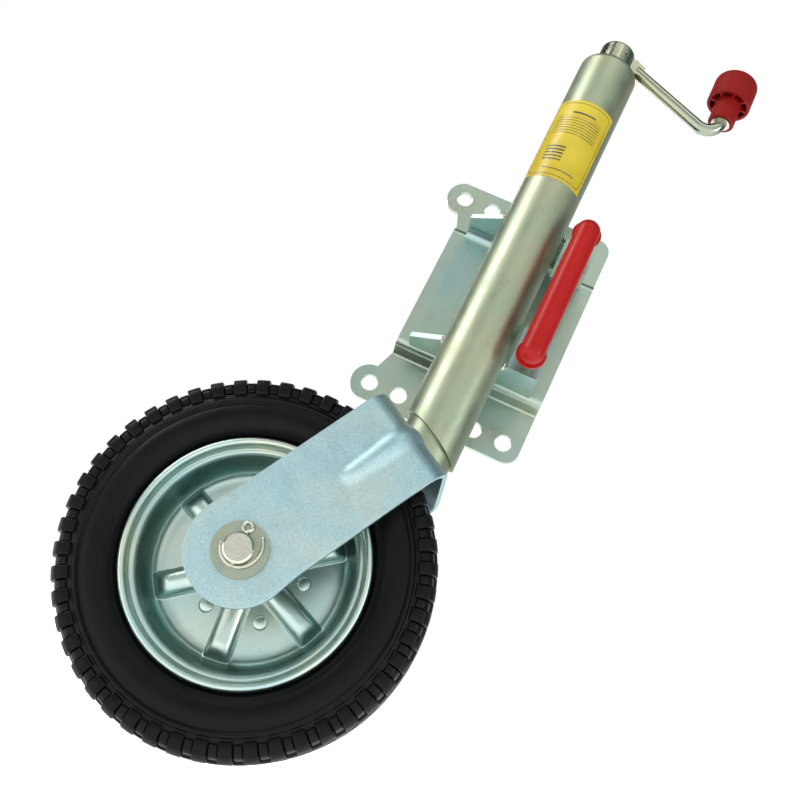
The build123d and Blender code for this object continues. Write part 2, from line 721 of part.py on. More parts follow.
knob_wall = 2.4
knob_ribs = 8
knob_rib_t = 1.8
knob_round = 7.0
neck_wall_r = neck_r - 0.8   # cells start just inside the neck's outline
cell_depth = 18.0
with BuildPart() as crank_knob:
    with BuildSketch(knob_level(0)):
        Circle(neck_r)
    extrude(amount=neck_h + cell_depth)
    with BuildSketch(knob_level(neck_h)):
        Circle(knob_r)
    extrude(amount=knob_h)
    fillet(crank_knob.edges().filter_by(GeomType.CIRCLE).sort_by(Axis.Z)[-1], radius=knob_round)
    with BuildSketch(knob_level(neck_h)) as cells:
        Circle(knob_r - knob_wall)
        Circle(neck_wall_r, mode=Mode.SUBTRACT)
        with PolarLocations(0, knob_ribs):
            Rectangle(knob_r, knob_rib_t, align=(Align.MIN, Align.CENTER), mode=Mode.SUBTRACT)
    extrude(amount=cell_depth, mode=Mode.SUBTRACT)
    # bore, ferrule seat and the pocket for the clip
    with BuildSketch(knob_level(0)):
        Circle(rod_r + run_gap)
    extrude(amount=rod_end - knob_foot + 1, mode=Mode.SUBTRACT)
    with BuildSketch(knob_level(0)):
        Circle(ferrule_r + clear)
    extrude(amount=ferrule_t - ferrule_proud + clear, mode=Mode.SUBTRACT)
    with BuildSketch(knob_level(clip_level - knob_foot - clear)):
        Circle(clip_r + clear)
    extrude(amount=clip_t + 2 * clear, mode=Mode.SUBTRACT)
finish(crank_knob, "crank_knob")

# ---- lock handle --------------------------------------------------------------------------
pin_tip = plateau_front - clear
flare_from = -(pad_stand + engage + pad_to_flare)


def bar_between(a, b, radius):
    """Round bar between two (Y, Z) points in the handle's plane."""
    run = Vector(0, b[0] - a[0], b[1] - a[1])
    with BuildSketch(Plane(origin=(pin_x, a[0], a[1]), z_dir=run.normalized())) as stock:
        Circle(radius)
    extrude(stock.sketch, amount=run.length)


def joint_ball(point, radius):
    """Ball that rounds the corner where two bars meet."""
    with Locations((pin_x, point[0], point[1])):
        Sphere(radius)


with BuildPart() as lock_handle_bar:
    for side in (-1, 1):
        elbow = (flare_from, side * pin_half_gap)
        knee = (-leg_stand, side * leg_half)
        corner = (-grip_axis_stand, side * grip_half)
        bar_between((pin_tip, side * pin_half_gap), elbow, pin_r)
        joint_ball(elbow, pin_r)
        bar_between(elbow, knee, pin_r)
        joint_ball(knee, pin_r)
        bar_between(knee, corner, pin_r)
        joint_ball(corner, pin_r)
    bar_between((-grip_axis_stand, -grip_half), (-grip_axis_stand, grip_half), pin_r)
finish(lock_handle_bar, "lock_handle_bar")

with BuildPart() as handle_grip:
    bar_between((-grip_axis_stand, -grip_half), (-grip_axis_stand, grip_half), grip_r)
    for side in (-1, 1):
        corner = (-grip_axis_stand, side * grip_half)
        collar_at = (-grip_flange_stand, side * grip_half)
        joint_ball(corner, grip_r)
        bar_between(collar_at, corner, grip_r)
        bar_between(collar_at, (-grip_flange_stand - grip_collar_t, side * grip_half), collar_r)
    add(lock_handle_bar.part, mode=Mode.SUBTRACT)
finish(handle_grip, "handle_grip")

collar_face = web_front - clear - engage
with BuildPart() as spring_collars:
    for side in (-1, 1):
        seat = Plane(origin=(pin_x, collar_face, side * pin_half_gap), z_dir=(0, -1, 0))
        ring(seat, spring_collar_r, pin_r, spring_collar_t)
finish(spring_collars, "spring_collars")

spring_from = collar_face - spring_collar_t
spring_len = pad_stand - bracket_t + spring_from
with BuildPart() as lock_springs:
    for side in (-1, 1):
        seat = Plane(origin=(pin_x, spring_from, side * pin_half_gap), z_dir=(0, -1, 0))
        ring(seat, spring_r, spring_r - spring_wire, spring_len)
finish(lock_springs, "lock_springs")
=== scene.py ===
import bpy
import bmesh
import json
import math
import random
from mathutils import Matrix, Vector


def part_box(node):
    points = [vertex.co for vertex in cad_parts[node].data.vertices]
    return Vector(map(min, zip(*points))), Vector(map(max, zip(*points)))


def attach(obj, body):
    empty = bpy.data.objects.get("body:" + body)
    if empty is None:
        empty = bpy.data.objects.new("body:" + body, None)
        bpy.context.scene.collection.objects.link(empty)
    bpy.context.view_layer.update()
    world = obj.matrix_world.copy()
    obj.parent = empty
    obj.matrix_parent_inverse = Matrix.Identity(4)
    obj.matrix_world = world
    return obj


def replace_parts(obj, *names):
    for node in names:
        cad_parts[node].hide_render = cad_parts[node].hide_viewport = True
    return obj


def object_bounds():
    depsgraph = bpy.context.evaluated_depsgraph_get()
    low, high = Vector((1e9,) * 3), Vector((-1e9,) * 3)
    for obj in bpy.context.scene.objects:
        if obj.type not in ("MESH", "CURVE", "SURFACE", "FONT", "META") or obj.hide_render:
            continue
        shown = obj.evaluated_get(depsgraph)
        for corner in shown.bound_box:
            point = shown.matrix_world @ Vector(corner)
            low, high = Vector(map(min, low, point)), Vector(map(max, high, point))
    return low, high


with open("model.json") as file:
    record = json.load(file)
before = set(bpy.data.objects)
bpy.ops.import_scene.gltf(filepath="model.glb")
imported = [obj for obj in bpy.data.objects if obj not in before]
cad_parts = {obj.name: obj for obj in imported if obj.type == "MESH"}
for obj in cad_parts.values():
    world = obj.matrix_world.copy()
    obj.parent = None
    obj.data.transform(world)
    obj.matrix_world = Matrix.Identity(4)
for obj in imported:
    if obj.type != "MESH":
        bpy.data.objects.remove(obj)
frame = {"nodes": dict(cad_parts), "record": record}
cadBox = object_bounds()
nodes = frame["nodes"]
print("frame loaded,", len(nodes), "CAD nodes")

# where the main lines of the jack are, in metres
tubeY = -0.072
tyreLow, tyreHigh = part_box("tyre")
wheelCentre = (tyreLow + tyreHigh) / 2


# small helpers for node trees
def newMaterial(name):
    material = bpy.data.materials.new(name)
    material.use_nodes = True
    tree = material.node_tree
    return material, tree, tree.nodes["Principled BSDF"]


def addNode(tree, kind, values=None, **settings):
    node = tree.nodes.new(kind)
    for key, value in settings.items():
        setattr(node, key, value)
    for key, value in (values or {}).items():
        node.inputs[key].default_value = value
    return node


# Noise in object space, on a scale per metre
def noise(tree, coord, scale, detail=4.0, rough=0.55, stretch=None):
    source = coord
    if stretch:
        mapping = addNode(tree, "ShaderNodeMapping", {"Scale": stretch})
        tree.links.new(coord, mapping.inputs["Vector"])
        source = mapping.outputs["Vector"]
    texture = addNode(tree, "ShaderNodeTexNoise", {"Scale": scale, "Detail": detail, "Roughness": rough})
    tree.links.new(source, texture.inputs["Vector"])
    return texture.outputs["Fac"]


def ramp(tree, fac, stops):
    node = addNode(tree, "ShaderNodeValToRGB")
    band = node.color_ramp
    while len(band.elements) < len(stops):
        band.elements.new(0.5)
    for element, (place, colour) in zip(band.elements, stops):
        element.position = place
        element.color = (*colour, 1)
    tree.links.new(fac, node.inputs["Fac"])
    return node.outputs["Color"]


def remap(tree, fac, low, high, fromLow=0.0, fromHigh=1.0):
    node = addNode(tree, "ShaderNodeMapRange",
                   {"From Min": fromLow, "From Max": fromHigh, "To Min": low, "To Max": high})
    tree.links.new(fac, node.inputs["Value"])
    return node.outputs["Result"]


def mixColour(tree, fac, a, b, blend="MIX"):
    node = addNode(tree, "ShaderNodeMix", data_type="RGBA", blend_type=blend)
    for socket, value in ((node.inputs["Factor"], fac), (node.inputs["A"], a), (node.inputs["B"], b)):
        if hasattr(value, "is_linked"):
            tree.links.new(value, socket)
        elif isinstance(value, (int, float)):
            socket.default_value = value
        else:
            socket.default_value = (*value, 1)
    return node.outputs["Result"]


def mathNode(tree, operation, a, b=None, clamp=False):
    node = addNode(tree, "ShaderNodeMath", operation=operation, use_clamp=clamp)
    for socket, value in zip(node.inputs, (a, b)):
        if value is None:
            continue
        if hasattr(value, "is_linked"):
            tree.links.new(value, socket)
        else:
            socket.default_value = value
    return node.outputs["Value"]


def bump(tree, shader, height, strength, distance):
    node = addNode(tree, "ShaderNodeBump", {"Strength": strength, "Distance": distance})
    tree.links.new(height, node.inputs["Height"])
    tree.links.new(node.outputs["Normal"], shader.inputs["Normal"])


# finishes
# Zinc plate over steel: cool and warm passivate patches, fine grain, dull specks, a little dirt
def zincFinish(name, cool, warm, dark, roughLow, roughHigh, spangle=0.0, grain=None, patch=14,
               dirt=0.25, marksAndPaintedShade=None):
    material, tree, shader = newMaterial(name)
    coord = addNode(tree, "ShaderNodeTexCoord").outputs["Object"]
    cloud = noise(tree, coord, patch, 3)
    fine = noise(tree, coord, 420, 5, 0.7)
    colour = ramp(tree, cloud, [(0.32, cool), (0.52, [(c + w) / 2 for c, w in zip(cool, warm)]), (0.7, warm)])
    if spangle:
        cells = addNode(tree, "ShaderNodeTexVoronoi", {"Scale": 1400.0})
        tree.links.new(coord, cells.inputs["Vector"])
        flake = remap(tree, cells.outputs["Color"], 1 - spangle, 1 + spangle * 0.4)
        colour = mixColour(tree, 1.0, colour, flake, "MULTIPLY")
    stain = remap(tree, noise(tree, coord, 55, 6, 0.65), 0.0, dirt, 0.56, 0.78)
    colour = mixColour(tree, stain, colour, dark)
    # optional extra marks over the colour: the axle's turned rings, and the rim dish's painted shade
    if marksAndPaintedShade:
        colour = marksAndPaintedShade(tree, coord, colour)
    tree.links.new(colour, shader.inputs["Base Color"])
    rough = remap(tree, noise(tree, coord, 70, 5, 0.6), roughLow, roughHigh, 0.3, 0.72)
    if grain:
        brushed = noise(tree, coord, 260, 3, 0.6, grain)
        rough = mathNode(tree, "ADD", rough, remap(tree, brushed, -0.05, 0.07))
        height = mathNode(tree, "ADD", mathNode(tree, "MULTIPLY", brushed, 0.6),
                          mathNode(tree, "MULTIPLY", fine, 0.4))
    else:
        height = fine
    tree.links.new(rough, shader.inputs["Roughness"])
    shader.inputs["Metallic"].default_value = 1.0
    bump(tree, shader, height, 0.16, 0.0004)
    return material


# Distance from the wheel's axle
def axleRadius(tree, coord):
    split = addNode(tree, "ShaderNodeSeparateXYZ")
    tree.links.new(coord, split.inputs["Vector"])
    dx = mathNode(tree, "SUBTRACT", split.outputs["X"], wheelCentre.x)
    dz = mathNode(tree, "SUBTRACT", split.outputs["Z"], wheelCentre.z)
    return mathNode(tree, "SQRT", mathNode(tree, "ADD", mathNode(tree, "MULTIPLY", dx, dx),
                                           mathNode(tree, "MULTIPLY", dz, dz))), split


# Painted shade: a darker blue-green ring in the rim's deep corner, standing in for the dark reflections and
# shade there
def dishPaintedShade(tree, coord, colour):
    radius, split = axleRadius(tree, coord)
    # painted shade mask: a ring by radius, kept to the deep part of the dish
    ring = ramp(tree, remap(tree, radius, 0.0, 1.0, 0.055, 0.080),
                [(0.0, (0, 0, 0)), (0.28, (0.25, 0.25, 0.25)), (0.55, (1, 1, 1)), (0.76, (0.9, 0.9, 0.9)),
                 (0.84, (0, 0, 0))])
    depth = mathNode(tree, "ABSOLUTE", mathNode(tree, "SUBTRACT", split.outputs["Y"], tubeY))
    low = remap(tree, depth, 1.0, 0.0, 0.0235, 0.0262)
    fac = mathNode(tree, "MULTIPLY", mathNode(tree, "MULTIPLY", ring, low), 0.85)
    # painted shade colour for the dish corner
    return mixColour(tree, fac, colour, (0.04, 0.12, 0.118))


# Fine rings left by turning the axle's end
def turnedRings(tree, coord, colour):
    radius, split = axleRadius(tree, coord)
    wave = mathNode(tree, "SINE", mathNode(tree, "MULTIPLY", radius, 5200.0))
    shade = remap(tree, mathNode(tree, "ADD", wave, noise(tree, coord, 900, 3)), 0.72, 1.12, -1.0, 1.6)
    return mixColour(tree, 1.0, colour, shade, "MULTIPLY")


# Moulded plastic: slight colour drift, scuffs, and the mould's texture
def plasticFinish(name, deep, bright, roughLow, roughHigh, grainSize, grainDepth, coat=0.0, gleam=0.4):
    material, tree, shader = newMaterial(name)
    coord = addNode(tree, "ShaderNodeTexCoord").outputs["Object"]
    drift = noise(tree, coord, 22, 3)
    scuff = noise(tree, coord, 160, 6, 0.7)
    colour = ramp(tree, drift, [(0.3, deep), (0.7, bright)])
    paler = [0.8 * b + 0.02 for b in bright]
    colour = mixColour(tree, remap(tree, scuff, 0.0, 0.25, 0.58, 0.8), colour, paler)
    tree.links.new(colour, shader.inputs["Base Color"])
    tree.links.new(remap(tree, scuff, roughLow, roughHigh, 0.3, 0.7), shader.inputs["Roughness"])
    shader.inputs["Specular IOR Level"].default_value = gleam
    shader.inputs["Coat Weight"].default_value = coat
    shader.inputs["Coat Roughness"].default_value = 0.25
    bump(tree, shader, noise(tree, coord, grainSize, 3, 0.6), grainDepth, 0.0004)
    return material


# Solid tyre rubber: a lighter crown that is partly dust and partly painted sheen, fine mould grain and a few
# scuffs
def rubberFinish(name, black, dustAndSheenColour, dustAndSheenAmount):
    material, tree, shader = newMaterial(name)
    coord = addNode(tree, "ShaderNodeTexCoord").outputs["Object"]
    radius, split = axleRadius(tree, coord)
    # lighter crown on the block tops: partly dust, partly painted sheen
    crown = remap(tree, radius, 0.0, 1.0, 0.1215, 0.1265)
    dustAndSheenSpots = remap(tree, noise(tree, coord, 90, 6, 0.7), 0.0, 1.0, 0.36, 0.74)
    fac = mathNode(tree, "MULTIPLY", mathNode(tree, "MULTIPLY", crown, dustAndSheenSpots), dustAndSheenAmount, True)
    scuff = noise(tree, coord, 34, 6, 0.7)
    colour = mixColour(tree, remap(tree, scuff, 0.0, 0.5, 0.5, 0.8), black, [b * 2.2 for b in black])
    tree.links.new(mixColour(tree, fac, colour, dustAndSheenColour), shader.inputs["Base Color"])
    rough = remap(tree, scuff, 0.30, 0.46, 0.3, 0.72)
    rough = mathNode(tree, "ADD", rough, mathNode(tree, "MULTIPLY", fac, 0.2))
    tree.links.new(rough, shader.inputs["Roughness"])
    shader.inputs["Specular IOR Level"].default_value = 0.14
    bump(tree, shader, noise(tree, coord, 1400, 4, 0.7), 0.10, 0.0004)
    return material


# Printed vinyl: plain colour, thin rounded border and plain rules
def labelFinish(name, look):
    material, tree, shader = newMaterial(name)
    coord = addNode(tree, "ShaderNodeTexCoord").outputs["Object"]
    split = addNode(tree, "ShaderNodeSeparateXYZ")
    tree.links.new(coord, split.inputs["Vector"])
    dy = mathNode(tree, "SUBTRACT", tubeY, split.outputs["Y"])
    turn = mathNode(tree, "ARCTAN2", split.outputs["X"], dy)       # from the tube's front, towards the handle
    across = mathNode(tree, "MULTIPLY", mathNode(tree, "SUBTRACT", turn, look["turnMid"]), look["radius"])
    up = mathNode(tree, "SUBTRACT", split.outputs["Z"], look["upMid"])
    halfWide, halfTall = look["halfWide"], look["halfTall"]
    inX = mathNode(tree, "MAXIMUM", mathNode(tree, "SUBTRACT", mathNode(tree, "ABSOLUTE", across),
                                             halfWide - look["corner"]), 0.0)
    inZ = mathNode(tree, "MAXIMUM", mathNode(tree, "SUBTRACT", mathNode(tree, "ABSOLUTE", up),
                                             halfTall - look["corner"]), 0.0)
    reach = mathNode(tree, "SQRT", mathNode(tree, "ADD", mathNode(tree, "MULTIPLY", inX, inX),
                                            mathNode(tree, "MULTIPLY", inZ, inZ)))
    offLine = mathNode(tree, "ABSOLUTE", mathNode(tree, "SUBTRACT", reach, look["corner"]))
    ink = mathNode(tree, "LESS_THAN", offLine, look["line"] / 2)    # the border, and then the rules
    for low, high, left, right, pitch, thick in look["rules"]:
        strip = mathNode(tree, "MULTIPLY", mathNode(tree, "GREATER_THAN", up, low),
                         mathNode(tree, "LESS_THAN", up, high))
        strip = mathNode(tree, "MULTIPLY", strip, mathNode(tree, "GREATER_THAN", across, left))
        strip = mathNode(tree, "MULTIPLY", strip, mathNode(tree, "LESS_THAN", across, right))
        phase = mathNode(tree, "MODULO", mathNode(tree, "SUBTRACT", up, low - 1), pitch)
        strip = mathNode(tree, "MULTIPLY", strip, mathNode(tree, "LESS_THAN", phase, thick))
        ink = mathNode(tree, "MAXIMUM", ink, strip)
    wear = remap(tree, noise(tree, coord, 300, 5, 0.7), 1.0, 0.25, 0.5, 0.72)
    base = ramp(tree, noise(tree, coord, 26, 4), [(0.35, look["deep"]), (0.65, look["bright"])])
    colour = mixColour(tree, mathNode(tree, "MULTIPLY", ink, wear), base, look["ink"])
    tree.links.new(colour, shader.inputs["Base Color"])
    tree.links.new(remap(tree, noise(tree, coord, 60, 5), 0.3, 0.48, 0.3, 0.7), shader.inputs["Roughness"])
    bump(tree, shader, noise(tree, coord, 500, 3), 0.06, 0.0003)
    return material


label = {
    "radius": 0.0244, "turnMid": math.radians(-7), "upMid": 0.126, "halfWide": 0.0248, "halfTall": 0.0362,
    "corner": 0.005, "line": 0.0006, "deep": (0.43, 0.31, 0.010), "bright": (0.52, 0.39, 0.020),
    "ink": (0.05, 0.045, 0.03),
    # low, high, left, right, pitch and thickness of each block of plain rules
    "rules": [(0.0255, 0.0290, -0.008, 0.012, 0.004, 0.0018),
              (0.004, 0.0235, -0.020, 0.019, 0.0026, 0.0007),
              (-0.024, -0.008, -0.016, 0.000, 0.0032, 0.0016),
              (-0.031, -0.0285, -0.012, 0.016, 0.004, 0.0009)],
}
# zinc: cool, warm and dark colours, then the least and greatest roughness
# plastic: deep and bright colours, the same two roughnesses, the grain's scale and depth, coat and gleam
finishes = {
    "plate_zinc": zincFinish("plateZinc", (0.33, 0.44, 0.40), (0.44, 0.47, 0.36), (0.13, 0.14, 0.11),
                             0.26, 0.42),
    "bracket_zinc": zincFinish("bracketZinc", (0.30, 0.44, 0.44), (0.40, 0.46, 0.35), (0.13, 0.14, 0.11),
                               0.24, 0.40),
    "tube_zinc": zincFinish("tubeZinc", (0.34, 0.39, 0.28), (0.40, 0.40, 0.27), (0.14, 0.12, 0.08),
                            0.38, 0.50, grain=(1, 1, 0.03), patch=20),
    "fork_zinc": zincFinish("forkZinc", (0.38, 0.55, 0.60), (0.47, 0.58, 0.56), (0.26, 0.29, 0.29),
                            0.38, 0.52, spangle=0.22, patch=24, dirt=0.15),
    # the rim's dish gets painted shade in its deep corner
    "rim_zinc": zincFinish("rimZinc", (0.40, 0.55, 0.54), (0.58, 0.62, 0.52), (0.14, 0.20, 0.19),
                           0.27, 0.36, patch=22, dirt=0.05, marksAndPaintedShade=dishPaintedShade),
    "crank_zinc": zincFinish("crankZinc", (0.31, 0.34, 0.27), (0.39, 0.37, 0.26), (0.12, 0.10, 0.06),
                             0.10, 0.24, dirt=0.4),
    "bare_steel": zincFinish("turnedSteel", (0.48, 0.48, 0.43), (0.58, 0.55, 0.45), (0.14, 0.12, 0.09),
                             0.18, 0.34, dirt=0.35),
    "weld_metal": zincFinish("weldMetal", (0.42, 0.41, 0.36), (0.60, 0.57, 0.48), (0.06, 0.05, 0.04),
                             0.14, 0.30, patch=160, dirt=0.8),
    "label_yellow": labelFinish("labelVinyl", label),
    # the last two values are the crown's dust-and-painted-sheen colour and amount
    "tyre_rubber": rubberFinish("tyreRubber", (0.0015, 0.0016, 0.0017), (0.022, 0.021, 0.016), 0.8),
    "bush_nylon": plasticFinish("bushNylon", (0.62, 0.60, 0.52), (0.74, 0.72, 0.64), 0.4, 0.55, 400, 0.08),
    "knob_plastic": plasticFinish("knobPlastic", (0.17, 0.004, 0.003), (0.22, 0.006, 0.005), 0.46, 0.62,
                                  1500, 0.25, 0.0, 0.14),
    "grip_plastic": plasticFinish("gripPlastic", (0.30, 0.004, 0.003), (0.35, 0.006, 0.005), 0.30, 0.46,
                                  500, 0.12, 0.05, 0.18),
}
turned = zincFinish("turnedAxle", (0.62, 0.63, 0.55), (0.72, 0.69, 0.57), (0.2, 0.18, 0.13),
                    0.2, 0.34, dirt=0.2, marksAndPaintedShade=turnedRings)
washerZinc = zincFinish("washerZinc", (0.34, 0.40, 0.34), (0.42, 0.43, 0.32), (0.15, 0.14, 0.10),
                        0.24, 0.38, patch=60)
special = {"wheel_axle": turned, "axle_washers": washerZinc}
slotOf = {part["node"]: part["material_slot"] for part in frame["record"]["subparts"]}
for nodeName, cadObject in nodes.items():
    cadObject.data.materials.clear()
    cadObject.data.materials.append(special.get(nodeName, finishes[slotOf[nodeName]]))
print("finishes set")


# making pieces
def meshPiece(name, bm, slot, body):
    mesh = bpy.data.meshes.new(name)
    bm.to_mesh(mesh)
    bm.free()
    piece = bpy.data.objects.new(name, mesh)
    bpy.context.scene.collection.objects.link(piece)
    mesh.materials.append(finishes[slot])
    mesh.polygons.foreach_set("use_smooth", [True] * len(mesh.polygons))
    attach(piece, body)
    return piece


def bevelPiece(piece, width, angle):
    modifier = piece.modifiers.new("edges", "BEVEL")
    modifier.width = width
    modifier.segments = 3
    modifier.limit_method = "ANGLE"
    modifier.angle_limit = math.radians(angle)
    modifier.harden_normals = False


# Catmull-Rom through the points, ends kept
def smoothLine(points, steps):
    out = []
    for i in range(len(points) - 1):
        p = [points[max(0, min(len(points) - 1, i + k))] for k in (-1, 0, 1, 2)]
        for s in range(steps):
            t = s / steps
            out.append(tuple(0.5 * (2 * b + (c - a) * t + (2 * a - 5 * b + 4 * c - d) * t * t
                                    + (3 * b - a - 3 * c + d) * t ** 3) for a, b, c, d in zip(*p)))
    out.append(tuple(points[-1]))
    return out


# Point at a radius from the axle, a distance out along -Y, and an angle from +X towards +Z
def wheelPoint(radius, out, angle):
    return Vector((wheelCentre.x + radius * math.cos(angle), tubeY - out,
                   wheelCentre.z + radius * math.sin(angle)))


# A profile of (radius, out) spun round the axle
def spunPiece(name, line, slot, body, turns):
    bm = bmesh.new()
    rings = []
    for k in range(turns):
        angle = 2 * math.pi * k / turns
        rings.append([bm.verts.new(wheelPoint(r, out, angle)) for r, out in line])
    count = len(line)
    for k in range(turns):
        here, there = rings[k], rings[(k + 1) % turns]
        for i in range(count):
            j = (i + 1) % count
            bm.faces.new((here[i], here[j], there[j], there[i]))
    bmesh.ops.recalc_face_normals(bm, faces=bm.faces)
    return meshPiece(name, bm, slot, body)


# tyre
tyre = {
    "around": 240, "edge": 0.0010, "pitches": 48, "grooveRadius": 0.1212, "crownRadius": 0.1268,
    # half a block's share of the pitch, how far its foot spreads in radians, and its undrafted share
    "shoulderShare": 0.285, "ledgeShare": 0.20, "middleShare": 0.26, "draft": 0.005, "flatShare": 0.3,
    # middle row: half widths at the top and the foot, how far the foot is sunk, and the top's camber
    "middleTop": 0.0060, "middleFoot": 0.0070, "sunk": 0.0012, "camber": 0.0001,
    # each block's outer and inner lines, as (radius, out)
    "shoulderTop": [(0.1128, 0.0352), (0.1175, 0.0359), (0.1222, 0.0348), (0.1250, 0.0318), (0.1264, 0.0270),
                    (0.1267, 0.0228)],
    "shoulderFoot": [(0.1138, 0.0325), (0.1150, 0.0310), (0.1165, 0.0290), (0.1175, 0.0265), (0.1182, 0.0240),
                     (0.1184, 0.0220)],
    "ledgeTop": [(0.1145, 0.0348), (0.1195, 0.0340), (0.1228, 0.0310), (0.1240, 0.0268), (0.1242, 0.0232)],
    "ledgeFoot": [(0.1150, 0.0315), (0.1165, 0.0290), (0.1175, 0.0270), (0.1182, 0.0250), (0.1184, 0.0228)],
    "rowTop": [(0.1262, 0.0208), (0.1268, 0.0150), (0.1268, 0.0084)],
    "rowFoot": [(0.1182, 0.0216), (0.1184, 0.0150), (0.1184, 0.0076)],
    # near half of the carcass, as (radius, out), from the tread's middle to the bead
    "half": [(0.1212, 0.0), (0.1212, 0.012), (0.1210, 0.022), (0.1202, 0.027), (0.1180, 0.0310),
             (0.1148, 0.0336), (0.1116, 0.0348), (0.1104, 0.0364), (0.1092, 0.0370), (0.1080, 0.0364),
             (0.1066, 0.0352), (0.1040, 0.0360), (0.1005, 0.0366), (0.0960, 0.0364), (0.0920, 0.0352),
             (0.0885, 0.0330), (0.0862, 0.0306), (0.0852, 0.0290)],
    "bead": [(0.0838, 0.0280), (0.0838, 0.0)],
}


def tyreCarcass():
    half = smoothLine(tyre["half"], 4)
    line = half + tyre["bead"][:1]
    mirror = [(r, -out) for r, out in reversed(line)]
    return spunPiece("tyreCarcass", mirror[:-1] + line, "tyre_rubber", "wheel", tyre["around"])


# A rubber block: the outer line of (radius, out) and the inner one, carried round through the angles
def lugSection(bm, angles, outer, inner):
    loops = []
    for angle, shrink in angles:
        top = [wheelPoint(r, out, angle) for r, out in outer]
        base = [wheelPoint(r, out, angle + shrink) for r, out in inner]
        loops.append([bm.verts.new(p) for p in top + base[::-1]])
    count = len(loops[0])
    for here, there in zip(loops, loops[1:]):
        for i in range(count):
            j = (i + 1) % count
            bm.faces.new((here[i], here[j], there[j], there[i]))
    bm.faces.new(loops[0][::-1])
    bm.faces.new(loops[-1])


def tyreTread():
    bm = bmesh.new()
    pitch = 2 * math.pi / tyre["pitches"]
    crown, groove = tyre["crownRadius"], tyre["grooveRadius"] - tyre["sunk"]
    top, foot, draft = tyre["middleTop"], tyre["middleFoot"], tyre["draft"]
    for k in range(tyre["pitches"]):
        middle = k * pitch
        offset = middle + pitch / 2
        for side in (-1, 1):
            for centre, share, outer, inner in (
                    (middle, tyre["shoulderShare"], tyre["shoulderTop"], tyre["shoulderFoot"]),
                    (offset, tyre["ledgeShare"], tyre["ledgeTop"], tyre["ledgeFoot"]),
                    (offset, tyre["shoulderShare"], tyre["rowTop"], tyre["rowFoot"])):
                wide = pitch * share
                flat = wide * tyre["flatShare"]
                spread = [(-wide, -draft), (-flat, 0), (flat, 0), (wide, draft)]
                lugSection(bm, [(centre + a, s) for a, s in spread], [(r, side * o) for r, o in outer],
                           [(r, side * o) for r, o in inner])
        wide = pitch * tyre["middleShare"]
        spread = [(-wide, -draft), (0, 0), (wide, draft)]
        outer = [(crown, -top), (crown + tyre["camber"], 0.0), (crown, top)]
        inner = [(groove, -foot), (groove, 0.0), (groove, foot)]
        lugSection(bm, [(middle + a, s) for a, s in spread], outer, inner)
    bmesh.ops.recalc_face_normals(bm, faces=bm.faces)
    piece = meshPiece("tyreTread", bm, "tyre_rubber", "wheel")
    bevelPiece(piece, tyre["edge"], 30)


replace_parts(tyreCarcass(), "tyre")
tyreTread()
print("tyre made")


# wires: springs and split pin
wireLook = {"sides": 12, "tip": 0.6}


# Round wire along each run of points, closed with pointed tips
def wirePiece(name, runs, radius, slot, body):
    bm = bmesh.new()
    sides = wireLook["sides"]
    for run in runs:
        points = [Vector(p) for p in run]
        previous = None
        rings = []
        for i, p in enumerate(points):
            ahead = (points[min(i + 1, len(points) - 1)] - points[max(i - 1, 0)]).normalized()
            if previous is None:
                across = ahead.orthogonal().normalized()
            else:
                across = (previous - ahead * previous.dot(ahead)).normalized()
            previous = across
            side = ahead.cross(across)
            rings.append([bm.verts.new(p + radius * (math.cos(2 * math.pi * s / sides) * across
                                                     + math.sin(2 * math.pi * s / sides) * side))
                          for s in range(sides)])
        for here, there in zip(rings, rings[1:]):
            for s in range(sides):
                t = (s + 1) % sides
                bm.faces.new((here[s], here[t], there[t], there[s]))
        for ring, p, other in ((rings[0], points[0], points[1]), (rings[-1], points[-1], points[-2])):
            tip = bm.verts.new(p + (p - other).normalized() * radius * wireLook["tip"])
            for s in range(sides):
                bm.faces.new((ring[s], ring[(s + 1) % sides], tip))
    bmesh.ops.recalc_face_normals(bm, faces=bm.faces)
    return meshPiece(name, bm, slot, body)


spring = {"wire": 0.0008, "short": 0.0008, "turns": 7, "steps": 28,
          # shares of the wire's turns and of the spring's length
          "closedTurns": 0.1, "openTurns": 0.8, "closedRise": 0.07, "openRise": 0.86}


def lockSprings():
    low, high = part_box("lock_springs")
    outer = (high.x - low.x) / 2
    mid = (high.x + low.x) / 2
    gap = (high.z - low.z) / 2 - outer
    centre = (high.z + low.z) / 2
    coil = outer - spring["wire"]
    first = low.y + spring["wire"] + spring["short"]
    last = high.y - spring["wire"]
    closed = spring["closedTurns"]
    runs = []
    for side in (-1, 1):
        run = []
        count = spring["turns"] * spring["steps"]
        for i in range(count + 1):
            t = i / count
            # closed turns at both ends
            ends = min(t / closed, 1) + max((t - (1 - closed)) / closed, 0)
            middle = min(max((t - closed) / spring["openTurns"], 0), 1)
            travel = middle * spring["openRise"] + spring["closedRise"] * ends
            y = first + (last - first) * travel
            a = 2 * math.pi * spring["turns"] * t
            run.append((mid + coil * math.cos(a), y, centre + side * gap + coil * math.sin(a)))
        runs.append(run)
    piece = wirePiece("lockSpringCoils", runs, spring["wire"], "bare_steel", "lock")
    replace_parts(piece, "lock_springs")


lockSprings()
print("springs made")


# split pin through the axle
splitPin = {"lean": math.radians(5.6), "wire": 0.0011, "bow": 0.0114, "eye": 0.0031,
            "eyeSteps": 16, "shankSteps": 8, "legSteps": 24, "flare": 2.5, "eyeTurn": 0.94, "apart": 0.55,
            # how far each leg sweeps round the axle and opens away from it
            "legs": {-1: (math.radians(93), 0.04), 1: (math.radians(136), 0.42)}}


